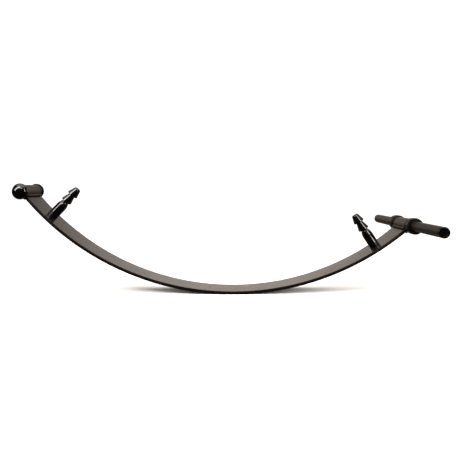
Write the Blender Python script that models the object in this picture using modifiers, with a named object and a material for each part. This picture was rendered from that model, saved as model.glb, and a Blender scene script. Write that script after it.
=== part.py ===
"""Rocking bar of curved flat steel.

A flat bar rolled to a large arc rocks on the floor. A short cross sleeve is welded to each end of it.
One sleeve carries a cross handle that turns in two flanged bushes and is held by two stop collars, the
other sleeve is closed with two end caps. Two barbed pegs are screwed to the bar's inner face.

Axes: X along the bar, Y across it, Z up. The floor is Z = 0, and the origin is on it, below the middle
of the bounding box. The bar stands in the tilt that the handle's weight gives it at rest, so it touches
the floor below the arc's centre, a little to the right of the origin. All sizes are in metres and all
angles in degrees unless a name says otherwise.
"""

import math

import bmesh
import bpy
from mathutils import Matrix, Vector

# ---------------------------------------------------------------- driving dimensions
BAR_INNER_RADIUS = 0.680        # inner face of the rolled flat bar
BAR_THICKNESS = 0.008
BAR_WIDTH = 0.080
BAR_EDGE_CHAMFER = 0.0008
HALF_SPAN = 46.3                # from the bar's middle to each sleeve's axis
REST_TILT = 5.00                # the handle end hangs this much lower than the other
BAR_STEPS = 80
CENTRE_HOLE_RADIUS = 0.0025

SLEEVE_OUTER_RADIUS = 0.01685   # 33.7 mm pipe with a 2.3 mm wall
SLEEVE_WALL = 0.0023
SLEEVE_LENGTH = 0.086
WELD_RADIUS = 0.0024
WELD_LENGTH = 0.076

HANDLE_RADIUS = 0.0125          # 25 mm tube
HANDLE_WALL = 0.0020
HANDLE_LENGTH = 0.420
CAP_RIM_LENGTH = 0.008
CAP_PLUG_LENGTH = 0.022

FLANGE_RADIUS = 0.0200
FLANGE_THICKNESS = 0.004
BUSH_BARREL_LENGTH = 0.024
RUNNING_CLEARANCE = 0.00012
COLLAR_RADIUS = 0.0205
COLLAR_WIDTH = 0.0200
GRUB_SCREW_RADIUS = 0.0030

END_CAP_RADIUS = 0.0205
END_CAP_RIM = 0.0065
END_CAP_DOME = 0.0080
END_CAP_PLUG_LENGTH = 0.020

LEFT_PEG_ANGLE = -38.8          # from the bar's middle to each peg
RIGHT_PEG_ANGLE = 38.1
PEG_LENGTH = 0.096
PEG_RADIUS = 0.0133
SHOULDER_HEIGHT = 0.0326        # where the straight body ends
LOWER_BARB_HEIGHT = 0.0523
UPPER_BARB_HEIGHT = 0.0749
BARB_RADIUS = 0.0140
NECK_RADIUS = 0.0070
TIP_RADIUS = 0.0081
INSERT_RADIUS = 0.0055
INSERT_LENGTH = 0.016
SCREW_RADIUS = 0.0040           # M8
SCREW_HEAD_RADIUS = 0.0080
SCREW_HEAD_SINK = 0.0006        # depth of the head below the bar's outer face
SCREW_HEAD_LIP = 0.0003

GAP = 0.0003                    # between neighbouring pieces

SIDES = 36                      # facets round a turned piece
COLLECTION = "rocking_bar"

# ---------------------------------------------------------------- derived places
BAR_MID_RADIUS = BAR_INNER_RADIUS + BAR_THICKNESS / 2
BAR_OUTER_RADIUS = BAR_INNER_RADIUS + BAR_THICKNESS
LEFT_REACH = BAR_MID_RADIUS * math.sin(math.radians(HALF_SPAN + REST_TILT))
RIGHT_REACH = BAR_MID_RADIUS * math.sin(math.radians(HALF_SPAN - REST_TILT))
ARC_CENTRE = Vector(((LEFT_REACH - RIGHT_REACH) / 2, 0.0, BAR_OUTER_RADIUS))
SLEEVE_BORE_RADIUS = SLEEVE_OUTER_RADIUS - SLEEVE_WALL
FRONT = -1                      # towards -Y
BACK = 1
LEFT = -1
RIGHT = 1


def arc_angle(from_middle):
    """Angle in radians from straight down, positive towards +X, of a place on the bar."""
    return math.radians(from_middle - REST_TILT)


def arc_point(from_middle, radius, y=0.0):
    """World point on the bar's arc at the given radius."""
    angle = arc_angle(from_middle)
    return ARC_CENTRE + Vector((radius * math.sin(angle), y, -radius * math.cos(angle)))


# ---------------------------------------------------------------- scene helpers
def clear_scene():
    for obj in list(bpy.data.objects):
        bpy.data.objects.remove(obj, do_unlink=True)


def make_collection(name):
    collection = bpy.data.collections.new(name)
    bpy.context.scene.collection.children.link(collection)
    return collection


def make_material(name, colour, roughness, metallic):
    material = bpy.data.materials.new(name)
    material.use_nodes = True
    shader = material.node_tree.nodes["Principled BSDF"]
    shader.inputs["Base Color"].default_value = (*colour, 1.0)
    shader.inputs["Roughness"].default_value = roughness
    shader.inputs["Metallic"].default_value = metallic
    return material


def add_object(name, mesh_data, collection, material=None):
    obj = bpy.data.objects.new(name, mesh_data)
    collection.objects.link(obj)
    if material is not None:
        mesh_data.materials.append(material)
    return obj


def mesh_from_bmesh(name, bm):
    bmesh.ops.recalc_face_normals(bm, faces=bm.faces)
    mesh = bpy.data.meshes.new(name)
    bm.to_mesh(mesh)
    bm.free()
    return mesh


# ---------------------------------------------------------------- shape helpers
def turned(name, profile, collection, material, closed=False, sides=SIDES):
    """Solid of revolution about the object's own Z, from (radius, height) points.

    A solid piece's profile starts and ends on the axis and runs down its outer side. A hollow piece's
    profile is a closed loop.
    """
    bm = bmesh.new()
    corners = [bm.verts.new((radius, 0.0, height)) for radius, height in profile]
    for first, second in zip(corners, corners[1:]):
        bm.edges.new((first, second))
    if closed:
        bm.edges.new((corners[-1], corners[0]))
    mesh = bpy.data.meshes.new(name)
    bm.to_mesh(mesh)
    bm.free()
    obj = add_object(name, mesh, collection, material)
    screw = obj.modifiers.new("Turn", "SCREW")
    screw.axis = "Z"
    screw.steps = sides
    screw.render_steps = sides
    screw.use_merge_vertices = True
    screw.merge_threshold = 0.00001
    screw.use_smooth_shade = True
    return obj


def quarter_round(centre_radius, centre_height, radius, start, end, steps=2):
    """Points of a quarter round in a (radius, height) profile, angles in degrees from +radius."""
    points = []
    for step in range(steps + 1):
        angle = math.radians(start + (end - start) * step / steps)
        points.append((centre_radius + radius * math.cos(angle), centre_height + radius * math.sin(angle)))
    return points


def along_y(obj, origin, side):
    """Places a turned piece at origin with its own Z pointing outwards along Y on the given side."""
    turn = Matrix.Rotation(math.radians(-90.0 * side), 4, "X")
    obj.matrix_world = Matrix.Translation(origin) @ turn


def towards_arc_centre(obj, from_middle, radius):
    """Places a turned piece on the bar with its own Z pointing at the arc's centre."""
    turn = Matrix.Rotation(-arc_angle(from_middle), 4, "Y")
    obj.matrix_world = Matrix.Translation(arc_point(from_middle, radius)) @ turn


def cut(target, cutter):
    boolean = target.modifiers.new("Cut " + cutter.name, "BOOLEAN")
    boolean.operation = "DIFFERENCE"
    boolean.solver = "EXACT"
    boolean.object = cutter


def hide_cutter(cutter):
    cutter.hide_render = True
    cutter.display_type = "WIRE"


# ---------------------------------------------------------------- bar
def bar_end_angle():
    """Angle from the bar's middle to its cut ends, which butt against the sleeves."""
    set_back = SLEEVE_OUTER_RADIUS + GAP
    return HALF_SPAN - math.degrees(set_back / BAR_MID_RADIUS)


def make_bar(collection, material):
    """Flat bar: a rectangle with chamfered corners, spun about the arc's centre."""
    bm = bmesh.new()
    start = -bar_end_angle()
    half_width = BAR_WIDTH / 2
    corners = []
    for radius, y in (
        (BAR_OUTER_RADIUS, -half_width),
        (BAR_OUTER_RADIUS, half_width),
        (BAR_INNER_RADIUS, half_width),
        (BAR_INNER_RADIUS, -half_width),
    ):
        corners.append(bm.verts.new(arc_point(start, radius, y)))
    bm.faces.new(corners)
    bmesh.ops.bevel(bm, geom=list(bm.verts), offset=BAR_EDGE_CHAMFER, segments=1, affect="VERTICES")
    bmesh.ops.spin(
        bm,
        geom=bm.verts[:] + bm.edges[:] + bm.faces[:],
        cent=ARC_CENTRE,
        axis=(0.0, -1.0, 0.0),
        dvec=(0.0, 0.0, 0.0),
        angle=math.radians(2 * bar_end_angle()),
        steps=BAR_STEPS,
        use_duplicate=False,
    )
    return add_object("rocker_bar", mesh_from_bmesh("rocker_bar", bm), collection, material)


def peg_screw_hole(name, from_middle, cutters):
    """Clearance hole with a countersink that opens on the bar's outer face."""
    hole = SCREW_RADIUS + GAP
    head = SCREW_HEAD_RADIUS + GAP
    over = 0.002
    cone_start = SCREW_HEAD_SINK + SCREW_HEAD_LIP + GAP * (math.sqrt(2.0) - 1.0)
    profile = [
        (0.0, BAR_THICKNESS + over),
        (hole, BAR_THICKNESS + over),
        (hole, cone_start + head - hole),
        (head, cone_start),
        (head, -over),
        (0.0, -over),
    ]
    cutter = turned(name, profile, cutters, None, sides=48)
    towards_arc_centre(cutter, from_middle, BAR_OUTER_RADIUS)
    hide_cutter(cutter)
    return cutter


def centre_hole(cutters):
    over = 0.002
    profile = [
        (0.0, BAR_THICKNESS + over),
        (CENTRE_HOLE_RADIUS, BAR_THICKNESS + over),
        (CENTRE_HOLE_RADIUS, -over),
        (0.0, -over),
    ]
    cutter = turned("cut_centre_hole", profile, cutters, None, sides=24)
    towards_arc_centre(cutter, 0.0, BAR_OUTER_RADIUS)
    hide_cutter(cutter)
    return cutter


# ---------------------------------------------------------------- sleeves and welds
def make_sleeve(name, side, collection, material):
    half = SLEEVE_LENGTH / 2
    chamfer = 0.0006
    outer = SLEEVE_OUTER_RADIUS
    inner = SLEEVE_BORE_RADIUS
    profile = [
        (outer - chamfer, half),
        (outer, half - chamfer),
        (outer, -half + chamfer),
        (outer - chamfer, -half),
        (inner + chamfer, -half),
        (inner, -half + chamfer),
        (inner, half - chamfer),
        (inner + chamfer, half),
    ]
    sleeve = turned(name, profile, collection, material, closed=True)
    along_y(sleeve, arc_point(side * HALF_SPAN, BAR_MID_RADIUS), FRONT)
    return sleeve


def weld_place(side, inner_face):
    """Centre of a weld bead that lies in the notch between the bar's face and the sleeve."""
    reach = SLEEVE_OUTER_RADIUS + GAP + WELD_RADIUS
    if inner_face:
        radius = BAR_INNER_RADIUS - GAP - WELD_RADIUS
    else:
        radius = BAR_OUTER_RADIUS + GAP + WELD_RADIUS
    cosine = (radius**2 + BAR_MID_RADIUS**2 - reach**2) / (2 * radius * BAR_MID_RADIUS)
    offset = math.degrees(math.acos(cosine))
    return arc_point(side * (HALF_SPAN - offset), radius)


def make_weld(name, side, inner_face, collection, material):
    half = WELD_LENGTH / 2
    rounding = WELD_RADIUS * 0.6
    profile = [(0.0, half)]
    profile += quarter_round(WELD_RADIUS - rounding, half - rounding, rounding, 90, 0)
    profile += quarter_round(WELD_RADIUS - rounding, -half + rounding, rounding, 0, -90)
    profile += [(0.0, -half)]
    weld = turned(name, profile, collection, material, sides=16)
    along_y(weld, weld_place(side, inner_face), FRONT)
    return weld


# ---------------------------------------------------------------- bushes, end caps, collars
def make_bush(name, side, collection, material):
    """Flanged bush: its barrel sits in the sleeve and its flange covers the sleeve's end."""
    barrel = SLEEVE_BORE_RADIUS - GAP
    bore = HANDLE_RADIUS + RUNNING_CLEARANCE
    edge = 0.0008
    top = FLANGE_THICKNESS
    profile = [(FLANGE_RADIUS - edge, top), (FLANGE_RADIUS, top - edge), (FLANGE_RADIUS, edge)]
    profile += [(FLANGE_RADIUS - edge, 0.0), (barrel, 0.0)]
    profile += [(barrel, -BUSH_BARREL_LENGTH + edge), (barrel - edge / 2, -BUSH_BARREL_LENGTH)]
    profile += [(bore, -BUSH_BARREL_LENGTH), (bore, top - edge / 2), (bore + edge / 2, top)]
    bush = turned(name, profile, collection, material, closed=True)
    along_y(bush, arc_point(HALF_SPAN, BAR_MID_RADIUS, side * (SLEEVE_LENGTH / 2 + GAP)), side)
    return bush


def make_end_cap(name, side, collection, material):
    """Domed cap with a plug that is pushed into the empty sleeve."""
    plug = SLEEVE_BORE_RADIUS - GAP
    radius = END_CAP_RADIUS
    edge = 0.0012
    flat = radius * 0.30
    dome_foot = radius - 0.0016
    steps = 5
    profile = [(0.0, END_CAP_RIM + END_CAP_DOME)]
    for step in range(steps + 1):
        angle = math.radians(90.0 - 90.0 * step / steps)
        across = flat + (dome_foot - flat) * math.cos(angle)
        profile.append((across, END_CAP_RIM + END_CAP_DOME * math.sin(angle)))
    profile += quarter_round(radius - edge, END_CAP_RIM - edge, edge, 60, 0, steps=1)
    profile += quarter_round(radius - edge, edge, edge, 0, -90, steps=1)
    profile += [(plug, 0.0), (plug, -END_CAP_PLUG_LENGTH + edge), (plug - edge, -END_CAP_PLUG_LENGTH)]
    profile += [(0.0, -END_CAP_PLUG_LENGTH)]
    cap = turned(name, profile, collection, material)
    along_y(cap, arc_point(-HALF_SPAN, BAR_MID_RADIUS, side * (SLEEVE_LENGTH / 2 + GAP)), side)
    return cap


def collar_inner_face():
    """Distance from the bar's middle plane to a stop collar's face beside the bush."""
    return SLEEVE_LENGTH / 2 + FLANGE_THICKNESS + 3 * GAP


def make_collar(name, side, collection, cutters, material):
    """Stop collar that is clamped on the handle by a grub screw."""
    bore = HANDLE_RADIUS + GAP
    edge = 0.0022
    outer = COLLAR_RADIUS
    top = COLLAR_WIDTH
    profile = quarter_round(outer - edge, top - edge, edge, 90, 0)
    profile += quarter_round(outer - edge, edge, edge, 0, -90)
    profile += [(bore, 0.0), (bore, top - 0.0006), (bore + 0.0006, top)]
    collar = turned(name, profile, collection, material, closed=True)
    centre = arc_point(HALF_SPAN, BAR_MID_RADIUS, side * collar_inner_face())
    along_y(collar, centre, side)
    drill = turned(
        "cut_" + name,
        [
            (0.0, outer + 0.004),
            (GRUB_SCREW_RADIUS + GAP, outer + 0.004),
            (GRUB_SCREW_RADIUS + GAP, HANDLE_RADIUS - 0.004),
            (0.0, HANDLE_RADIUS - 0.004),
        ],
        cutters,
        None,
        sides=24,
    )
    drill.matrix_world = grub_screw_frame(side)
    hide_cutter(drill)
    cut(collar, drill)
    return collar


def grub_screw_frame(side):
    """Frame on the handle's axis in the middle of a collar, with Z along the grub screw."""
    middle = collar_inner_face() + COLLAR_WIDTH / 2
    return Matrix.Translation(arc_point(HALF_SPAN, BAR_MID_RADIUS, side * middle))


def make_grub_screw(name, side, collection, cutters, material):
    """Headless screw with a hexagon socket, just below the collar's surface."""
    radius = GRUB_SCREW_RADIUS
    low = HANDLE_RADIUS + GAP
    high = COLLAR_RADIUS - 0.0008
    chamfer = 0.0006
    profile = [
        (0.0, high),
        (radius - chamfer, high),
        (radius, high - chamfer),
        (radius, low + chamfer),
        (radius - chamfer, low),
        (0.0, low),
    ]
    screw = turned(name, profile, collection, material, sides=24)
    screw.matrix_world = grub_screw_frame(side)
    socket_radius = 0.0017
    mouth = high + 0.002
    floor = high - 0.003
    outline = [(0.0, mouth), (socket_radius, mouth), (socket_radius, floor), (0.0, floor)]
    socket = turned("cut_socket_" + name, outline, cutters, None, sides=6)
    socket.matrix_world = grub_screw_frame(side)
    hide_cutter(socket)
    cut(screw, socket)
    return screw


# ---------------------------------------------------------------- handle
def make_handle_tube(collection, material):
    half = HANDLE_LENGTH / 2
    outer = HANDLE_RADIUS
    inner = HANDLE_RADIUS - HANDLE_WALL
    profile = [(outer, half), (outer, -half), (inner, -half), (inner, half)]
    tube = turned("handle_tube", profile, collection, material, closed=True)
    along_y(tube, arc_point(HALF_SPAN, BAR_MID_RADIUS), FRONT)
    return tube


def make_handle_cap(name, side, collection, material):
    """Push-in cap: a rim as wide as the tube and a plug with one gripping rib inside it."""
    rim = HANDLE_RADIUS
    plug = HANDLE_RADIUS - HANDLE_WALL - GAP
    edge = 0.0018
    top = CAP_RIM_LENGTH
    profile = [(0.0, top)]
    profile += quarter_round(rim - edge, top - edge, edge, 90, 0)
    profile += [(rim, 0.0005), (rim - 0.0005, 0.0), (plug - 0.0008, 0.0)]
    rib = -CAP_PLUG_LENGTH / 2
    profile += [(plug - 0.0008, rib + 0.002), (plug, rib), (plug - 0.0008, rib - 0.002)]
    profile += [(plug - 0.0008, -CAP_PLUG_LENGTH), (0.0, -CAP_PLUG_LENGTH)]
    cap = turned(name, profile, collection, material)
    along_y(cap, arc_point(HALF_SPAN, BAR_MID_RADIUS, side * (HANDLE_LENGTH / 2 + GAP)), side)
    return cap


# ---------------------------------------------------------------- pegs
def peg_profile():
    """Outer line of the barbed peg from its tip down to its base."""
    edge = 0.0035
    foot_chamfer = 0.0006
    tip_top = TIP_RADIUS + 0.0008
    points = [(0.0, PEG_LENGTH)]
    points += quarter_round(tip_top - edge, PEG_LENGTH - edge, edge, 90, 12, steps=3)
    points += barb_edge(UPPER_BARB_HEIGHT, TIP_RADIUS)
    points += barb_edge(LOWER_BARB_HEIGHT, NECK_RADIUS)
    points += shoulder_curve(points[-1][1], SHOULDER_HEIGHT)
    points += [(PEG_RADIUS, foot_chamfer), (PEG_RADIUS - foot_chamfer, 0.0)]
    return points


def barb_edge(height, radius_below):
    """Blunt edge of a barb and the flat underside that runs in from it."""
    rim = 0.0007
    return [
        (BARB_RADIUS, height + rim),
        (BARB_RADIUS, height),
        (BARB_RADIUS - rim, height - rim),
        (radius_below, height - rim),
    ]


def shoulder_curve(neck_height, shoulder_height, steps=5):
    """Swelling line from the neck to the straight body, steep at first and then rounding over."""
    points = []
    for step in range(1, steps + 1):
        share = step / steps
        height = neck_height + (shoulder_height - neck_height) * share
        swelling = math.sin(share * math.pi / 2) ** 0.9
        points.append((NECK_RADIUS + (PEG_RADIUS - NECK_RADIUS) * swelling, height))
    return points


def make_peg(name, from_middle, collection, material):
    """Barbed peg with a blind hole in its foot for the threaded insert."""
    pocket = INSERT_RADIUS + GAP
    depth = INSERT_LENGTH + 0.010
    profile = peg_profile()
    profile += [(pocket, 0.0), (pocket, depth), (0.0, depth)]
    peg = turned(name, profile, collection, material)
    towards_arc_centre(peg, from_middle, BAR_INNER_RADIUS - GAP)
    return peg


def make_insert(name, from_middle, collection, material):
    """Threaded insert moulded into the peg's foot."""
    bore = SCREW_RADIUS + GAP
    top = INSERT_LENGTH
    groove = 0.0006
    profile = [
        (INSERT_RADIUS, top),
        (INSERT_RADIUS, top * 0.6),
        (INSERT_RADIUS - groove, top * 0.6 - groove),
        (INSERT_RADIUS - groove, top * 0.4 + groove),
        (INSERT_RADIUS, top * 0.4),
        (INSERT_RADIUS, 0.0),
        (bore, 0.0),
        (bore, top),
    ]
    insert = turned(name, profile, collection, material, closed=True, sides=20)
    towards_arc_centre(insert, from_middle, BAR_INNER_RADIUS - 2 * GAP)
    return insert


def make_peg_screw(name, from_middle, collection, cutters, material):
    """Countersunk screw, its head just below the bar's outer face."""
    sink = SCREW_HEAD_SINK
    lip = SCREW_HEAD_LIP
    length = BAR_THICKNESS + INSERT_LENGTH
    cone = SCREW_HEAD_RADIUS - SCREW_RADIUS
    profile = [
        (0.0, length),
        (SCREW_RADIUS - 0.0008, length),
        (SCREW_RADIUS, length - 0.0008),
        (SCREW_RADIUS, sink + lip + cone),
        (SCREW_HEAD_RADIUS, sink + lip),
        (SCREW_HEAD_RADIUS, sink),
        (0.0, sink),
    ]
    screw = turned(name, profile, collection, material, sides=36)
    towards_arc_centre(screw, from_middle, BAR_OUTER_RADIUS)
    socket_radius = 0.0029
    socket = turned(
        "cut_socket_" + name,
        [(0.0, 0.004), (socket_radius, 0.004), (socket_radius, -0.002), (0.0, -0.002)],
        cutters,
        None,
        sides=6,
    )
    towards_arc_centre(socket, from_middle, BAR_OUTER_RADIUS)
    hide_cutter(socket)
    cut(screw, socket)
    return screw


# ---------------------------------------------------------------- materials
def coated_steel(name):
    return make_material(name, (0.115, 0.095, 0.082), 0.5, 0.3)


def glossy_plastic(name):
    return make_material(name, (0.012, 0.012, 0.012), 0.13, 0.0)


def bush_nylon(name):
    return make_material(name, (0.015, 0.015, 0.015), 0.35, 0.0)


def black_enamel(name):
    return make_material(name, (0.012, 0.012, 0.012), 0.2, 0.2)


def bare_steel(name):
    return make_material(name, (0.42, 0.42, 0.43), 0.35, 1.0)


def insert_brass(name):
    return make_material(name, (0.62, 0.45, 0.16), 0.3, 1.0)


# ---------------------------------------------------------------- assembly
def build_end(word, side, peg_angle, bar, parts, cutters):
    """Sleeve with its two welds, and the peg with its insert and its screw, on one end of the bar."""
    name = word + "_sleeve"
    make_sleeve(name, side, parts, coated_steel(name))
    for place, inner_face in (("inner", True), ("outer", False)):
        name = word + "_weld_" + place
        make_weld(name, side, inner_face, parts, coated_steel(name))
    cut(bar, peg_screw_hole("cut_" + word + "_peg_hole", peg_angle, cutters))
    name = word + "_peg"
    make_peg(name, peg_angle, parts, glossy_plastic(name))
    name = word + "_peg_insert"
    make_insert(name, peg_angle, parts, insert_brass(name))
    name = word + "_peg_screw"
    make_peg_screw(name, peg_angle, parts, cutters, bare_steel(name))


def build_side(word, side, parts, cutters):
    """What closes one end of each sleeve and of the handle."""
    name = "end_cap_" + word
    make_end_cap(name, side, parts, glossy_plastic(name))
    name = "bush_" + word
    make_bush(name, side, parts, bush_nylon(name))
    name = "collar_" + word
    make_collar(name, side, parts, cutters, black_enamel(name))
    name = "grub_screw_" + word
    make_grub_screw(name, side, parts, cutters, bare_steel(name))
    name = "handle_cap_" + word
    make_handle_cap(name, side, parts, glossy_plastic(name))


def build():
    clear_scene()
    parts = make_collection(COLLECTION)
    cutters = make_collection(COLLECTION + "_cutters")
    bar = make_bar(parts, coated_steel("rocker_bar"))
    cut(bar, centre_hole(cutters))
    for word, side, peg_angle in (("left", LEFT, LEFT_PEG_ANGLE), ("right", RIGHT, RIGHT_PEG_ANGLE)):
        build_end(word, side, peg_angle, bar, parts, cutters)
    make_handle_tube(parts, coated_steel("handle_tube"))
    for word, side in (("front", FRONT), ("back", BACK)):
        build_side(word, side, parts, cutters)


build()
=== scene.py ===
"""Looks of the rocking bar.

Every piece that shows is modelled here at a finer grain than its plain solid: the rolled bar with its eased
edges, the two cross pipes with rippled weld beads, the barbed pegs, the domed caps, the bushes, the stop
collars, the turning handle and the screws. The pegs' threaded inserts, which are covered, keep their plain
solids and get a brass finish. Metres and degrees, but millimetres for the lens.
"""

import math

import bpy
from mathutils import Matrix, Vector


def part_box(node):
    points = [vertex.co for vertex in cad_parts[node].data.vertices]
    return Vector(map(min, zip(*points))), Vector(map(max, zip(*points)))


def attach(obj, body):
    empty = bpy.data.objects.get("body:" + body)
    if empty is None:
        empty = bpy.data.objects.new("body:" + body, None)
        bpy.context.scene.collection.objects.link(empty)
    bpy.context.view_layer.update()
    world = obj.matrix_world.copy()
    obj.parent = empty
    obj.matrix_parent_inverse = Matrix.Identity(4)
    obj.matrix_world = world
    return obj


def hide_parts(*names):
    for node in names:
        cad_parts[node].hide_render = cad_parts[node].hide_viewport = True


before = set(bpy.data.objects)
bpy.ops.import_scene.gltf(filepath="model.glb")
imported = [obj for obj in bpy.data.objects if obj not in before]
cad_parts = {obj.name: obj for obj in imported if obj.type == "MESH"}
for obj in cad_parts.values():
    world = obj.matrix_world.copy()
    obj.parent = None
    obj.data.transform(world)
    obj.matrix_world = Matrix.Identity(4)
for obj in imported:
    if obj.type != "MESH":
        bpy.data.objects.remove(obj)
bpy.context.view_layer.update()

# ---------------------------------------------------------------- driving dimensions
BAR_INNER_RADIUS = 0.680
BAR_THICKNESS = 0.008
BAR_WIDTH = 0.080
BAR_EDGE_RADIUS = 0.0006
HALF_SPAN = 46.3                # from the bar's middle to each pipe's axis
REST_TILT = 5.0
LEFT_PEG_ANGLE = -38.8
RIGHT_PEG_ANGLE = 38.1

PIPE_RADIUS = 0.01685
PIPE_WALL = 0.0023
BEAD_RADIUS = 0.0027
RIPPLE_PITCH = 0.0019
RIPPLE_DEPTH = 0.00022

TUBE_RADIUS = 0.0125
TUBE_WALL = 0.0020
BUSH_CLEARANCE = 0.00012

PEG_RADIUS = 0.0133
BARB_RADIUS = 0.0140
BARB_RIM = 0.0007
NECK_RADIUS = 0.0070
TIP_RADIUS = 0.0081
PEG_LENGTH = 0.096
SHOULDER_HEIGHT = 0.0326
LOWER_BARB_HEIGHT = 0.0523
UPPER_BARB_HEIGHT = 0.0749
INSERT_RADIUS = 0.0055
INSERT_DEPTH = 0.026

SCREW_RADIUS = 0.0040
SCREW_HEAD_RADIUS = 0.0080
SCREW_LENGTH = 0.024
SCREW_HEAD_SINK = 0.0006
GRUB_RADIUS = 0.0030
MIDDLE_HOLE_RADIUS = 0.0025

GAP = 0.0003                    # left between pieces that touch
PAST = 0.002                    # how far a cutter runs past what it cuts
SIDES = 96                      # of a turned piece
BAR_STEPS = 260
EASED_EDGE_STEPS = 3
SHARP_EDGE = 35.0
FRONT = -1
BACK = 1

# ---------------------------------------------------------------- studio values
# A direction's height is its share of straight up, and its depth its share of straight back.
WALL_GLOW = 1.42                # brightest band of the back wall
WALL_FOOT = 0.30                # wall below the floor line
WALL_TOP = 0.22                 # share of the glow that is left higher up
WALL_FRONT = 0.04               # share of the glow that reaches the room's front
WALL_RISE = (-0.04, 0.16)       # heights between which the glow comes up
WALL_FADE = (0.14, 0.52)        # and goes down
WALL_DEPTH = (-0.20, 0.60)      # depths between which it goes from front to back
WALL_COLOUR = (1.0, 0.88, 0.79)

CEILING_GLOW = 3.1
CEILING_RISE = (0.60, 0.88)
CEILING_DEPTH = (-0.50, 0.50)
CEILING_FRONT = 1.35            # shares of the ceiling's glow at its front and its back
CEILING_BACK = 0.45
CEILING_COLOUR = (1.0, 0.96, 0.93)

BACKDROP = 1.2                  # white that the camera sees behind the object
LAMP_COLOUR = (1.0, 0.97, 0.94)
LAMPS = (
    # name, place, aimed at, width and height, brightness, lean
    ("left_strip", (-1.05, -0.86, 0.79), (-0.43, 0.0, 0.20), (0.24, 1.10), 20.0, -38.0),
    ("right_strip", (0.96, -0.95, 0.58), (0.41, 0.0, 0.12), (0.27, 1.15), 20.0, 32.0),
    ("front_strip", (-0.55, -1.00, 0.90), (-0.20, 0.0, 0.15), (0.90, 0.18), 14.0, 0.0),
)

FLOOR_SIZE = 2.6
SENSOR_WIDTH = 36.0             # this and the focal length in millimetres
FOCAL_LENGTH = 33.8323
CAMERA_ASIDE = 0.0116           # to the right of the arc's centre
CAMERA_DEPTH = -1.143
CAMERA_HEIGHT = 0.269
FRAME_SHIFT = (-0.0097, -0.0957)    # shares of the picture's longer side

# ---------------------------------------------------------------- places read from the frame
FRAME_BODY = "frame"
HANDLE_BODY = "handle"


def middle_of(node):
    low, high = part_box(node)
    return (Vector(low) + Vector(high)) / 2


def span_of(node, axis):
    low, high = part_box(node)
    return low[axis], high[axis]


BAR_MID_RADIUS = BAR_INNER_RADIUS + BAR_THICKNESS / 2
BAR_OUTER_RADIUS = BAR_INNER_RADIUS + BAR_THICKNESS
HANDLE_AXIS = middle_of("right_sleeve")
ARC_CENTRE = Vector((
    HANDLE_AXIS.x - BAR_MID_RADIUS * math.sin(math.radians(HALF_SPAN - REST_TILT)),
    0.0,
    BAR_OUTER_RADIUS,
))


def arc_angle(from_middle):
    return math.radians(from_middle - REST_TILT)


def arc_point(from_middle, radius, y=0.0):
    angle = arc_angle(from_middle)
    return ARC_CENTRE + Vector((radius * math.sin(angle), y, -radius * math.cos(angle)))


# ---------------------------------------------------------------- modelling helpers
def deselect_all():
    if bpy.context.mode != "OBJECT":
        bpy.ops.object.mode_set(mode="OBJECT")
    bpy.ops.object.select_all(action="DESELECT")


def make_active(piece):
    deselect_all()
    piece.select_set(True)
    bpy.context.view_layer.objects.active = piece


def settle(piece, place):
    """Moves a piece to its place and leaves its object at the origin, unturned."""
    make_active(piece)
    piece.matrix_world = place
    bpy.context.view_layer.update()
    bpy.ops.object.transform_apply(location=True, rotation=True, scale=True)
    return piece


def along_y(centre, side):
    """Place for a turned piece whose own Z points outwards along Y on the given side."""
    return Matrix.Translation(centre) @ Matrix.Rotation(math.radians(-90.0 * side), 4, "X")


def radial(from_middle, radius):
    """Place for a turned piece on the bar whose own Z points at the arc's centre."""
    turn = Matrix.Rotation(-arc_angle(from_middle), 4, "Y")
    return Matrix.Translation(arc_point(from_middle, radius)) @ turn


def close_shape():
    """In edit mode: joins doubled corners and turns every face outwards."""
    bpy.ops.mesh.select_all(action="SELECT")
    bpy.ops.mesh.remove_doubles(threshold=0.000001)
    bpy.ops.mesh.normals_make_consistent(inside=False)
    bpy.ops.object.mode_set(mode="OBJECT")


def turned(name, outline, sides=SIDES, hollow=False):
    """Round piece about Z, drawn out ring by ring along (radius, height) points.

    A solid piece runs from the rim of one end disc to the rim of the other. A hollow one is a closed loop,
    so its last ring lands on its first.
    """
    deselect_all()
    radius, height = outline[0]
    fill = "NOTHING" if hollow else "NGON"
    bpy.ops.mesh.primitive_circle_add(vertices=sides, radius=radius, fill_type=fill)
    piece = bpy.context.object
    piece.name = name
    bpy.ops.object.mode_set(mode="EDIT")
    bpy.ops.mesh.select_all(action="SELECT")
    bpy.ops.transform.translate(value=(0.0, 0.0, height))
    rest = outline[1:] + outline[:1] if hollow else outline[1:]
    for next_radius, next_height in rest:
        rise = next_height - height
        bpy.ops.mesh.extrude_region_move(TRANSFORM_OT_translate={"value": (0.0, 0.0, rise)})
        share = next_radius / radius
        bpy.ops.transform.resize(value=(share, share, 1.0), center_override=(0.0, 0.0, next_height))
        radius, height = next_radius, next_height
    close_shape()
    return piece


def arc(centre_radius, centre_height, radius, start, end, steps):
    """(radius, height) points of an arc, its angles counted from straight outwards."""
    points = []
    for step in range(steps + 1):
        angle = math.radians(start + (end - start) * step / steps)
        out = centre_radius + radius * math.cos(angle)
        points.append((out, centre_height + radius * math.sin(angle)))
    return points


def round_edges(piece, width):
    """Eases every edge that turns by more than SHARP_EDGE."""
    make_active(piece)
    bevel = piece.modifiers.new("Eased edges", "BEVEL")
    bevel.width = width
    bevel.segments = EASED_EDGE_STEPS
    bevel.limit_method = "ANGLE"
    bevel.angle_limit = math.radians(SHARP_EDGE)
    bevel.use_clamp_overlap = True
    bpy.ops.object.modifier_apply(modifier=bevel.name)


def cut_out(piece, cutter):
    """Takes the cutter's shape out of the piece, and removes the cutter."""
    make_active(piece)
    difference = piece.modifiers.new("Cut", "BOOLEAN")
    difference.operation = "DIFFERENCE"
    difference.solver = "EXACT"
    difference.object = cutter
    bpy.ops.object.modifier_apply(modifier=difference.name)
    bpy.data.objects.remove(cutter, do_unlink=True)


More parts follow.
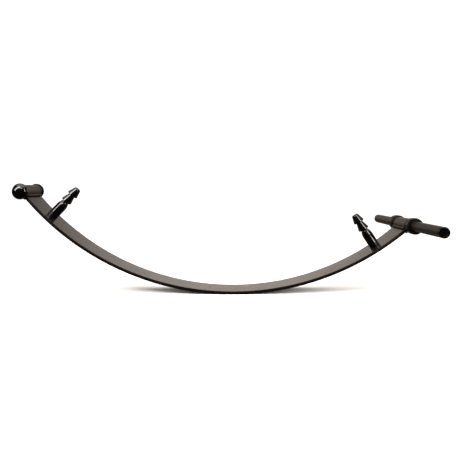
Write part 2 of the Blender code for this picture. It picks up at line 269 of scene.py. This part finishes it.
def finish_piece(piece, node, body, finish, crease=30.0):
    """Shades a piece smooth with true flats, gives it its finish and lets it stand for its plain solid."""
    make_active(piece)
    bpy.ops.object.shade_smooth_by_angle(angle=math.radians(crease))
    flatten = piece.modifiers.new("True flats", "WEIGHTED_NORMAL")
    flatten.keep_sharp = True
    flatten.weight = 50
    bpy.ops.object.modifier_apply(modifier=flatten.name)
    piece.data.materials.clear()
    piece.data.materials.append(finish)
    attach(piece, body)
    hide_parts(node)
    return piece


# ---------------------------------------------------------------- shader helpers
class Amount:
    """A number that varies over a surface. Arithmetic on it adds Math nodes."""

    def __init__(self, finish, socket):
        self.finish = finish
        self.socket = socket

    def combine(self, operation, first, second):
        node = self.finish.node("ShaderNodeMath", {"operation": operation}, {0: first, 1: second})
        return Amount(self.finish, node.outputs[0])

    def __add__(self, other):
        return self.combine("ADD", self, other)

    __radd__ = __add__

    def __sub__(self, other):
        return self.combine("SUBTRACT", self, other)

    def __mul__(self, other):
        return self.combine("MULTIPLY", self, other)

    def between(self, low, high):
        """0 at low and 1 at high, smooth in between."""
        settings = {"interpolation_type": "SMOOTHSTEP"}
        inputs = {"Value": self, "From Min": low, "From Max": high, "To Min": 0.0, "To Max": 1.0}
        node = self.finish.node("ShaderNodeMapRange", settings, inputs)
        return Amount(self.finish, node.outputs[0])


class Finish:
    """One material: its node tree and its Principled shader."""

    def __init__(self, name, **constants):
        self.material = bpy.data.materials.new(name)
        self.material.use_nodes = True
        self.nodes = self.material.node_tree.nodes
        self.links = self.material.node_tree.links
        self.shader = self.nodes["Principled BSDF"]
        for socket, value in constants.items():
            self.shader.inputs[socket.replace("_", " ")].default_value = value

    def node(self, kind, settings=None, inputs=None):
        made = self.nodes.new(kind)
        for setting, value in (settings or {}).items():
            setattr(made, setting, value)
        for key, value in (inputs or {}).items():
            self.feed(made.inputs[key], value)
        return made

    def feed(self, socket, value):
        if isinstance(value, Amount):
            self.links.new(value.socket, socket)
        elif isinstance(value, bpy.types.NodeSocket):
            self.links.new(value, socket)
        else:
            socket.default_value = value

    def place(self, stretch=(1.0, 1.0, 1.0)):
        """Object coordinates, stretched."""
        coordinates = self.node("ShaderNodeTexCoord").outputs["Object"]
        inputs = {"Vector": coordinates, "Scale": stretch}
        return self.node("ShaderNodeMapping", {"vector_type": "POINT"}, inputs).outputs[0]

    def noise(self, scale, detail=2.0, roughness=0.5, where=None):
        where = where or self.place()
        inputs = {"Vector": where, "Scale": scale, "Detail": detail, "Roughness": roughness}
        return Amount(self, self.node("ShaderNodeTexNoise", None, inputs).outputs[0])

    def cells(self, scale, where=None):
        """Distance to the nearest of scattered points."""
        inputs = {"Vector": where or self.place(), "Scale": scale}
        return Amount(self, self.node("ShaderNodeTexVoronoi", None, inputs).outputs["Distance"])

    def blend(self, share, first, second):
        """Colour that goes from first to second as share goes from 0 to 1."""
        settings = {"data_type": "RGBA", "blend_type": "MIX"}
        node = self.node("ShaderNodeMix", settings)
        # Inputs 6 and 7 and output 2 are the node's colours.
        self.feed(node.inputs["Factor"], share)
        for socket, colour in ((node.inputs[6], first), (node.inputs[7], second)):
            self.feed(socket, (*colour, 1.0) if isinstance(colour, tuple) else colour)
        return node.outputs[2]

    def bump(self, height, depth, strength, under=None):
        inputs = {"Height": height, "Distance": depth, "Strength": strength}
        if under is not None:
            inputs["Normal"] = under
        return self.node("ShaderNodeBump", None, inputs).outputs[0]

    def wear(self, socket, value):
        self.feed(self.shader.inputs[socket], value)


# ---------------------------------------------------------------- finishes
def powder_coat(name, dark, light, roughness, refraction):
    """Satin powder coat on steel: a fine grain, faint cloudiness and an orange-peel skin."""
    coat = Finish(name, IOR=refraction)
    grain = coat.noise(1500.0, detail=3.0, roughness=0.65)
    cloud = coat.noise(28.0, detail=4.0, roughness=0.6)
    drawn = coat.noise(1.0, detail=3.0, roughness=0.6, where=coat.place(stretch=(260.0, 14.0, 260.0)))
    skin = coat.noise(620.0, detail=1.5)
    shade = (grain * 0.50 + cloud * 0.30 + drawn * 0.20).between(0.30, 0.70)
    coat.wear("Base Color", coat.blend(shade, dark, light))
    coat.wear("Roughness", roughness + (cloud - 0.5) * 0.16 + (grain - 0.5) * 0.18)
    peel = coat.bump(skin, 0.00010, strength=0.55)
    coat.wear("Normal", coat.bump(grain + drawn * 0.6, 0.00006, strength=0.5, under=peel))
    return coat.material


def glossy_plastic(name, roughness, refraction):
    """Moulded black plastic with a polished face, a trace of handling and a slight waviness."""
    plastic = Finish(name, IOR=refraction)
    touch = plastic.noise(46.0, detail=5.0, roughness=0.62)
    dust = plastic.noise(900.0, detail=2.0)
    flow = plastic.noise(38.0, detail=1.0)
    smudge = touch.between(0.52, 0.74)
    black = (0.0015, 0.0013, 0.0012)
    handled = (0.0048, 0.0042, 0.0038)
    plastic.wear("Base Color", plastic.blend(smudge * 0.6, black, handled))
    plastic.wear("Roughness", roughness + smudge * 0.07 + (dust - 0.5) * 0.05)
    plastic.wear("Normal", plastic.bump(flow + dust * 0.04, 0.0004, strength=0.10))
    return plastic.material


def satin_nylon(name):
    """Turned nylon: fine rings from the lathe and a dull sheen."""
    nylon = Finish(name, IOR=1.10)
    rings = nylon.noise(1.0, detail=2.0, where=nylon.place(stretch=(40.0, 2600.0, 40.0)))
    mottle = nylon.noise(220.0, detail=3.0)
    nylon.wear("Base Color", nylon.blend(mottle, (0.004, 0.0037, 0.0034), (0.009, 0.0083, 0.0077)))
    nylon.wear("Roughness", 0.26 + (mottle - 0.5) * 0.14)
    nylon.wear("Normal", nylon.bump(rings, 0.00005, strength=0.4))
    return nylon.material


def black_enamel(name):
    """Stoved enamel on a turned steel collar, with faint turning marks under it."""
    enamel = Finish(name, IOR=1.08, Coat_Roughness=0.05, Coat_IOR=1.22)
    marks = enamel.noise(1.0, detail=2.0, where=enamel.place(stretch=(30.0, 1800.0, 30.0)))
    cloud = enamel.noise(120.0, detail=4.0)
    enamel.wear("Base Color", enamel.blend(cloud, (0.003, 0.0027, 0.0025), (0.008, 0.0072, 0.0066)))
    enamel.wear("Roughness", 0.17 + (cloud - 0.5) * 0.10)
    enamel.wear("Coat Weight", 0.22 + (cloud - 0.5) * 0.14)
    enamel.wear("Normal", enamel.bump(marks, 0.00004, strength=0.35))
    return enamel.material


def zinc_steel(name):
    """Zinc-plated screw steel: a spangled grey with brighter and duller patches."""
    zinc = Finish(name, Metallic=1.0)
    spangle = zinc.cells(900.0)
    patch = zinc.noise(160.0, detail=4.0)
    zinc.wear("Base Color", zinc.blend(patch, (0.34, 0.34, 0.35), (0.56, 0.56, 0.55)))
    zinc.wear("Roughness", 0.30 + (patch - 0.5) * 0.20 + spangle * 0.05)
    zinc.wear("Normal", zinc.bump(spangle, 0.00003, strength=0.4))
    return zinc.material


def turned_brass(name):
    brass = Finish(name, Metallic=1.0)
    patina = brass.noise(180.0, detail=4.0)
    marks = brass.noise(2200.0, detail=2.0)
    brass.wear("Base Color", brass.blend(patina, (0.46, 0.30, 0.10), (0.72, 0.53, 0.22)))
    brass.wear("Roughness", 0.26 + (patina - 0.5) * 0.22)
    brass.wear("Normal", brass.bump(marks, 0.00003, strength=0.4))
    return brass.material


# ---------------------------------------------------------------- bar
def bar_end_angle():
    return HALF_SPAN - math.degrees((PIPE_RADIUS + GAP) / BAR_MID_RADIUS)


def make_bar(finish):
    """Flat bar: its cut end, with eased corners, swept round the arc."""
    deselect_all()
    start = -bar_end_angle()
    bpy.ops.mesh.primitive_plane_add(
        size=1.0,
        location=arc_point(start, BAR_MID_RADIUS),
        rotation=(0.0, math.radians(90.0) - arc_angle(start), 0.0),
    )
    bar = bpy.context.object
    bar.name = "rolled_bar"
    bar.scale = (BAR_THICKNESS, BAR_WIDTH, 1.0)
    bpy.ops.object.transform_apply(location=True, rotation=True, scale=True)
    bpy.ops.object.mode_set(mode="EDIT")
    bpy.ops.mesh.select_all(action="SELECT")
    bpy.ops.mesh.bevel(offset=BAR_EDGE_RADIUS, segments=5, affect="VERTICES", profile=0.5)
    bpy.ops.mesh.select_all(action="SELECT")
    bpy.ops.mesh.spin(
        steps=BAR_STEPS,
        angle=math.radians(2.0 * bar_end_angle()),
        center=ARC_CENTRE,
        axis=(0.0, 1.0, 0.0),
    )
    close_shape()
    for from_middle in (LEFT_PEG_ANGLE, RIGHT_PEG_ANGLE):
        cut_out(bar, screw_seat(from_middle))
    outline = [(MIDDLE_HOLE_RADIUS, -PAST), (MIDDLE_HOLE_RADIUS, BAR_THICKNESS + PAST)]
    hole = turned("middle_hole", outline, sides=48)
    settle(hole, radial(0.0, BAR_OUTER_RADIUS))
    cut_out(bar, hole)
    bpy.ops.object.mode_set(mode="EDIT")
    close_shape()
    return finish_piece(bar, "rocker_bar", FRAME_BODY, finish)


def screw_seat(from_middle):
    """Countersunk hole that opens on the bar's outer face."""
    shank = SCREW_RADIUS + GAP
    head = SCREW_HEAD_RADIUS + GAP
    cone_start = SCREW_HEAD_SINK + 2 * GAP
    outline = [
        (head, -PAST),
        (head, cone_start),
        (shank, cone_start + head - shank),
        (shank, BAR_THICKNESS + PAST),
    ]
    seat = turned("screw_seat", outline, sides=72)
    return settle(seat, radial(from_middle, BAR_OUTER_RADIUS))


# ---------------------------------------------------------------- pipes and beads
def ring_outline(outer, inner, low, high):
    return [(outer, low), (outer, high), (inner, high), (inner, low)]


def make_pipe(name, node, finish):
    """Short cross pipe, cut square and deburred."""
    low, high = span_of(node, 1)
    half = (high - low) / 2
    pipe = turned(name, ring_outline(PIPE_RADIUS, PIPE_RADIUS - PIPE_WALL, -half, half), hollow=True)
    round_edges(pipe, width=0.0006)
    settle(pipe, along_y(middle_of(node), FRONT))
    return finish_piece(pipe, node, FRAME_BODY, finish)


def bead_outline(length):
    """Weld bead with a ripple for each dab of the torch, and a rounded start and end."""
    count = round(length / RIPPLE_PITCH)
    steps = 4
    tip = 0.0003
    points = []
    for step in range(count * steps + 1):
        along = step / (count * steps)
        phase = (step % steps) / steps
        ripple = RIPPLE_DEPTH * math.sin(math.pi * phase)
        from_end = min(along, 1.0 - along) * length / BEAD_RADIUS
        fullness = 1.0 if from_end >= 1.0 else math.sqrt(1.0 - (1.0 - from_end) ** 2)
        radius = max(tip, (BEAD_RADIUS - RIPPLE_DEPTH + ripple) * fullness)
        points.append((radius, (along - 0.5) * length))
    return points


def make_bead(name, node, finish):
    low, high = span_of(node, 1)
    bead = turned(name, bead_outline(high - low), sides=32)
    settle(bead, along_y(middle_of(node), FRONT))
    return finish_piece(bead, node, FRAME_BODY, finish, crease=60.0)


# ---------------------------------------------------------------- caps, bushes, collars
def make_domed_cap(name, node, side, finish):
    """Push-in cap for the empty pipe: a plug, a rounded rim and a domed face."""
    low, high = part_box(node)
    radius = (high[0] - low[0]) / 2
    inner_end = low[1] if side == BACK else -high[1]
    face = high[1] if side == BACK else -low[1]
    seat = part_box("left_sleeve")[1][1] + GAP
    rim = 0.0040
    dome = face - seat - rim
    plug = PIPE_RADIUS - PIPE_WALL - GAP
    taper = 0.0010
    taper_length = 0.0012
    edge = 0.0014
    top = radius * 0.05
    foot = radius - edge
    steps = 18
    outline = [
        (plug - taper, inner_end - seat),
        (plug, inner_end - seat + taper_length),
        (plug, 0.0),
    ]
    outline += arc(radius - edge, edge, edge, -90, 0, 6)
    outline += arc(radius - edge, rim - edge, edge, 0, 60, 5)
    for step in range(1, steps + 1):
        angle = math.radians(90.0 * step / steps)
        outline.append((top + (foot - top) * math.cos(angle), rim + dome * math.sin(angle)))
    cap = turned(name, outline)
    centre = middle_of("left_sleeve")
    settle(cap, along_y(Vector((centre.x, side * seat, centre.z)), side))
    return finish_piece(cap, node, FRAME_BODY, finish)


def make_bush(name, node, side, finish):
    """Flanged bush, its bore a running fit on the handle."""
    flange = 0.0200
    thickness = 0.004
    barrel = PIPE_RADIUS - PIPE_WALL - GAP
    bore = TUBE_RADIUS + BUSH_CLEARANCE
    depth = 0.024
    outline = [
        (flange, 0.0),
        (flange, thickness),
        (bore, thickness),
        (bore, -depth),
        (barrel, -depth),
        (barrel, 0.0),
    ]
    bush = turned(name, outline, hollow=True)
    round_edges(bush, width=0.0007)
    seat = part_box("right_sleeve")[1][1] + GAP
    settle(bush, along_y(Vector((HANDLE_AXIS.x, side * seat, HANDLE_AXIS.z)), side))
    return finish_piece(bush, node, FRAME_BODY, finish)


def make_collar(name, node, side, finish):
    """Stop collar with well-rounded edges and a hole for its grub screw."""
    low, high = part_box(node)
    width = high[1] - low[1]
    radius = (high[0] - low[0]) / 2
    inner_face = low[1] if side == BACK else -high[1]
    bore = TUBE_RADIUS + GAP
    edge = 0.0024
    deburr = 0.0006
    outline = arc(radius - edge, edge, edge, -90, 0, 7)
    outline += arc(radius - edge, width - edge, edge, 0, 90, 7)
    outline += [
        (bore + deburr, width),
        (bore, width - deburr),
        (bore, deburr),
        (bore + deburr, 0.0),
    ]
    collar = turned(name, outline, hollow=True)
    settle(collar, along_y(Vector((HANDLE_AXIS.x, side * inner_face, HANDLE_AXIS.z)), side))
    hole_radius = GRUB_RADIUS + GAP
    margin = 0.004
    outline = [(hole_radius, TUBE_RADIUS - margin), (hole_radius, radius + margin)]
    hole = turned("grub_hole", outline, sides=48)
    settle(hole, Matrix.Translation(middle_of(node)))
    cut_out(collar, hole)
    return finish_piece(collar, node, HANDLE_BODY, finish)


# ---------------------------------------------------------------- handle
def make_tube(finish):
    low, high = span_of("handle_tube", 1)
    outline = ring_outline(TUBE_RADIUS, TUBE_RADIUS - TUBE_WALL, low, high)
    tube = turned("grip_tube", outline, hollow=True)
    round_edges(tube, width=0.0003)
    settle(tube, along_y(HANDLE_AXIS, FRONT))
    return finish_piece(tube, "handle_tube", HANDLE_BODY, finish)


def make_grip_cap(name, node, side, finish):
    """Push-in cap of the handle: a rim as wide as the tube, a dished face and a plug with gripping ribs."""
    low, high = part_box(node)
    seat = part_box("handle_tube")[1][1] + GAP
    inner_end = low[1] if side == BACK else -high[1]
    face = high[1] if side == BACK else -low[1]
    rim = TUBE_RADIUS
    plug = TUBE_RADIUS - TUBE_WALL - GAP
    edge = 0.0018
    ease = 0.0004
    depth = seat - inner_end
    taper = 0.0010
    ribs = 4
    rib_height = 0.0008
    rib_slope = 0.0012
    rib_back = 0.0006
    core = plug - rib_height
    outline = [(plug - taper, -depth)]
    for rib in range(1, ribs + 1):
        height = -depth * (1.0 - rib / (ribs + 1))
        outline += [(core, height - rib_slope), (plug, height), (core, height + rib_back)]
    outline += [(core, 0.0), (rim - ease, 0.0), (rim, ease)]
    outline += arc(rim - edge, face - seat - edge, edge, 0, 90, 8)
    dish_edge = rim * 0.62
    dish_foot = rim * 0.58
    dish_middle = rim * 0.05
    dish = face - seat - ease
    outline += [(dish_edge, face - seat), (dish_foot, dish), (dish_middle, dish)]
    cap = turned(name, outline)
    settle(cap, along_y(Vector((HANDLE_AXIS.x, side * seat, HANDLE_AXIS.z)), side))
    return finish_piece(cap, node, HANDLE_BODY, finish)


# ---------------------------------------------------------------- pegs
def barb(height, radius_below):
    """Flat underside and blunt edge of a barb, from below upwards."""
    ease = 0.0002
    lean = 0.00005
    return [
        (radius_below, height - BARB_RIM),
        (BARB_RADIUS - BARB_RIM, height - BARB_RIM),
        (BARB_RADIUS - ease, height - ease),
        (BARB_RADIUS, height + ease),
        (BARB_RADIUS - lean, height + BARB_RIM),
    ]


def peg_outline():
    """From the bottom of the insert's pocket, out round the foot and up to the tip."""
    pocket = INSERT_RADIUS + GAP
    foot = 0.0006
    edge = 0.0035
    tip = TIP_RADIUS + 0.0008
    waist_start = SHOULDER_HEIGHT * 0.97
    points = [(pocket, INSERT_DEPTH), (pocket, 0.0), (PEG_RADIUS - foot, 0.0), (PEG_RADIUS, foot)]
    points.append((PEG_RADIUS, waist_start))
    neck_height = LOWER_BARB_HEIGHT - BARB_RIM
    steps = 22
    for step in range(steps):
        share = 1.0 - step / steps
        height = neck_height + (SHOULDER_HEIGHT - neck_height) * share
        swelling = math.sin(share * math.pi / 2) ** 0.9
        points.append((NECK_RADIUS + (PEG_RADIUS - NECK_RADIUS) * swelling, height))
    points += barb(LOWER_BARB_HEIGHT, NECK_RADIUS)
    points += barb(UPPER_BARB_HEIGHT, TIP_RADIUS)
    points += arc(tip - edge, PEG_LENGTH - edge, edge, 12, 90, 10)
    return points


def make_peg(name, node, from_middle, finish):
    peg = turned(name, peg_outline())
    settle(peg, radial(from_middle, BAR_INNER_RADIUS - GAP))
    return finish_piece(peg, node, FRAME_BODY, finish, crease=28.0)


# ---------------------------------------------------------------- screws
def hex_socket(radius, low, high):
    return turned("socket", [(radius, low), (radius, high)], sides=6)


def make_peg_screw(name, node, from_middle, finish):
    """Countersunk socket screw, seen from under the bar."""
    sink = SCREW_HEAD_SINK
    lip = GAP
    cone = SCREW_HEAD_RADIUS - SCREW_RADIUS
    chamfer = 0.0008
    socket_radius = 0.0029
    socket_depth = 0.004
    outline = [
        (SCREW_HEAD_RADIUS, sink),
        (SCREW_HEAD_RADIUS, sink + lip),
        (SCREW_RADIUS, sink + lip + cone),
        (SCREW_RADIUS, SCREW_LENGTH - chamfer),
        (SCREW_RADIUS - chamfer, SCREW_LENGTH),
    ]
    screw = turned(name, outline, sides=72)
    cut_out(screw, hex_socket(socket_radius, -PAST, socket_depth))
    settle(screw, radial(from_middle, BAR_OUTER_RADIUS))
    return finish_piece(screw, node, FRAME_BODY, finish)


def make_grub_screw(name, node, finish):
    """Headless socket screw, just below the collar's surface."""
    low, high = span_of(node, 2)
    half = (high - low) / 2
    bevel = 0.0006
    socket_radius = 0.0017
    socket_depth = 0.003
    outline = [
        (GRUB_RADIUS - bevel, -half),
        (GRUB_RADIUS, -half + bevel),
        (GRUB_RADIUS, half - bevel),
        (GRUB_RADIUS - bevel, half),
    ]
    screw = turned(name, outline, sides=48)
    cut_out(screw, hex_socket(socket_radius, half - socket_depth, half + PAST))
    settle(screw, Matrix.Translation(middle_of(node)))
    return finish_piece(screw, node, HANDLE_BODY, finish)


# ---------------------------------------------------------------- the whole object
def build_object():
    bar_coat = powder_coat(
        "bar_coat",
        dark=(0.0022, 0.0018, 0.0015),
        light=(0.0066, 0.0053, 0.0043),
        roughness=0.24,
        refraction=1.45,
    )
    pipe_coat = powder_coat(
        "pipe_coat",
        dark=(0.018, 0.0132, 0.0098),
        light=(0.032, 0.0236, 0.0172),
        roughness=0.46,
        refraction=1.25,
    )
    tube_coat = powder_coat(
        "tube_coat",
        dark=(0.010, 0.0070, 0.0048),
        light=(0.019, 0.0134, 0.0092),
        roughness=0.42,
        refraction=1.18,
    )
    peg_plastic = glossy_plastic("peg_plastic", roughness=0.10, refraction=1.50)
    cap_plastic = glossy_plastic("cap_plastic", roughness=0.08, refraction=1.46)
    grip_plastic = glossy_plastic("grip_plastic", roughness=0.12, refraction=1.17)
    nylon = satin_nylon("bush_nylon")
    enamel = black_enamel("collar_enamel")
    zinc = zinc_steel("screw_zinc")
    brass = turned_brass("insert_brass")

    make_bar(bar_coat)
    for word, peg_angle in (("left", LEFT_PEG_ANGLE), ("right", RIGHT_PEG_ANGLE)):
        make_pipe("pipe_" + word, word + "_sleeve", pipe_coat)
        for face in ("inner", "outer"):
            make_bead("bead_" + word + "_" + face, word + "_weld_" + face, pipe_coat)
        make_peg("barbed_peg_" + word, word + "_peg", peg_angle, peg_plastic)
        make_peg_screw("countersunk_screw_" + word, word + "_peg_screw", peg_angle, zinc)
        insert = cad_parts[word + "_peg_insert"]
        for place in insert.material_slots:
            place.material = brass
    make_tube(tube_coat)
    for word, side in (("front", FRONT), ("back", BACK)):
        make_domed_cap("domed_cap_" + word, "end_cap_" + word, side, cap_plastic)
        make_bush("flanged_bush_" + word, "bush_" + word, side, nylon)
        make_collar("stop_collar_" + word, "collar_" + word, side, enamel)
        make_grub_screw("headless_screw_" + word, "grub_screw_" + word, zinc)
        make_grip_cap("grip_cap_" + word, "handle_cap_" + word, side, grip_plastic)


# ---------------------------------------------------------------- studio
def make_floor():
    """Pale paper floor, kept out of mirrorings and bounced light so that the black pieces stay black."""
    deselect_all()
    bpy.ops.mesh.primitive_grid_add(x_subdivisions=2, y_subdivisions=2, size=FLOOR_SIZE)
    floor = bpy.context.object
    floor.name = "studio_floor"
    paper = Finish("floor_paper", IOR=1.1)
    fibre = paper.noise(40.0, detail=3.0)
    paper.wear("Base Color", paper.blend(fibre, (0.90, 0.895, 0.89), (0.93, 0.925, 0.92)))
    paper.wear("Roughness", 0.9 + (fibre - 0.5) * 0.1)
    floor.data.materials.append(paper.material)
    floor.visible_glossy = False
    floor.visible_diffuse = False


def add_lamp(name, place, aim, size, brightness, lean):
    """Rectangular lamp. Brightness is that of its face, and lean turns it about its own axis."""
    width, height = size
    light = bpy.data.lights.new(name, "AREA")
    light.shape = "RECTANGLE"
    light.size = width
    light.size_y = height
    light.energy = brightness * math.pi * width * height
    light.color = LAMP_COLOUR
    lamp = bpy.data.objects.new(name, light)
    lamp.location = place
    facing = (Vector(aim) - Vector(place)).to_track_quat("-Z", "Y").to_matrix()
    lamp.rotation_euler = (facing @ Matrix.Rotation(math.radians(lean), 3, "Z")).to_euler()
    bpy.context.scene.collection.objects.link(lamp)


def make_lamps():
    for name, place, aim, size, brightness, lean in LAMPS:
        add_lamp(name, place, aim, size, brightness, lean)


class RoomLight:
    """The room: white to look at, a glow low on its back wall and a bright ceiling."""

    def __init__(self):
        self.world = bpy.data.worlds.new("white_room")
        self.world.use_nodes = True
        self.nodes = self.world.node_tree.nodes
        self.links = self.world.node_tree.links

    def step(self, value, between, first, last):
        """Goes smoothly from first to last as the value crosses the two limits."""
        ramp = self.nodes.new("ShaderNodeMapRange")
        ramp.interpolation_type = "SMOOTHSTEP"
        self.links.new(value, ramp.inputs["Value"])
        ramp.inputs["From Min"].default_value = between[0]
        ramp.inputs["From Max"].default_value = between[1]
        ramp.inputs["To Min"].default_value = first
        ramp.inputs["To Max"].default_value = last
        return ramp.outputs["Result"]

    def times(self, first, second):
        product = self.nodes.new("ShaderNodeMath")
        product.operation = "MULTIPLY"
        self.links.new(first, product.inputs[0])
        self.links.new(second, product.inputs[1])
        return product.outputs[0]

    def background(self, colour, strength):
        shader = self.nodes.new("ShaderNodeBackground")
        shader.inputs["Color"].default_value = (*colour, 1.0)
        if isinstance(strength, float):
            shader.inputs["Strength"].default_value = strength
        else:
            self.links.new(strength, shader.inputs["Strength"])
        return shader.outputs[0]

    def together(self, first, second):
        both = self.nodes.new("ShaderNodeAddShader")
        self.links.new(first, both.inputs[0])
        self.links.new(second, both.inputs[1])
        return both.outputs[0]


def make_room():
    room = RoomLight()
    bpy.context.scene.world = room.world
    direction = room.nodes.new("ShaderNodeTexCoord").outputs["Generated"]
    split = room.nodes.new("ShaderNodeSeparateXYZ")
    room.links.new(direction, split.inputs[0])
    depth = split.outputs["Y"]
    height = split.outputs["Z"]
    rising = room.step(height, WALL_RISE, WALL_FOOT, WALL_GLOW)
    fading = room.step(height, WALL_FADE, 1.0, WALL_TOP)
    behind = room.step(depth, WALL_DEPTH, WALL_FRONT, 1.0)
    wall = room.background(WALL_COLOUR, room.times(room.times(rising, fading), behind))
    overhead = room.step(height, CEILING_RISE, 0.0, CEILING_GLOW)
    forward = room.step(depth, CEILING_DEPTH, CEILING_FRONT, CEILING_BACK)
    ceiling = room.background(CEILING_COLOUR, room.times(overhead, forward))
    backdrop = room.background((1.0, 1.0, 1.0), BACKDROP)
    seen = room.nodes.new("ShaderNodeLightPath").outputs["Is Camera Ray"]
    both = room.nodes.new("ShaderNodeMixShader")
    room.links.new(seen, both.inputs[0])
    room.links.new(room.together(wall, ceiling), both.inputs[1])
    room.links.new(backdrop, both.inputs[2])
    room.links.new(both.outputs[0], room.nodes["World Output"].inputs["Surface"])


def make_camera():
    """Level view from the front. The shift frames the object without tilting the view."""
    lens = bpy.data.cameras.new("studio_camera")
    lens.sensor_width = SENSOR_WIDTH
    lens.lens = FOCAL_LENGTH
    lens.shift_x, lens.shift_y = FRAME_SHIFT
    camera = bpy.data.objects.new("studio_camera", lens)
    camera.location = (ARC_CENTRE.x + CAMERA_ASIDE, CAMERA_DEPTH, CAMERA_HEIGHT)
    camera.rotation_euler = (math.radians(90.0), 0.0, 0.0)
    bpy.context.scene.collection.objects.link(camera)
    bpy.context.scene.camera = camera


build_object()
make_floor()
make_room()
make_lamps()
make_camera()
bpy.context.scene.view_settings.view_transform = "Standard"
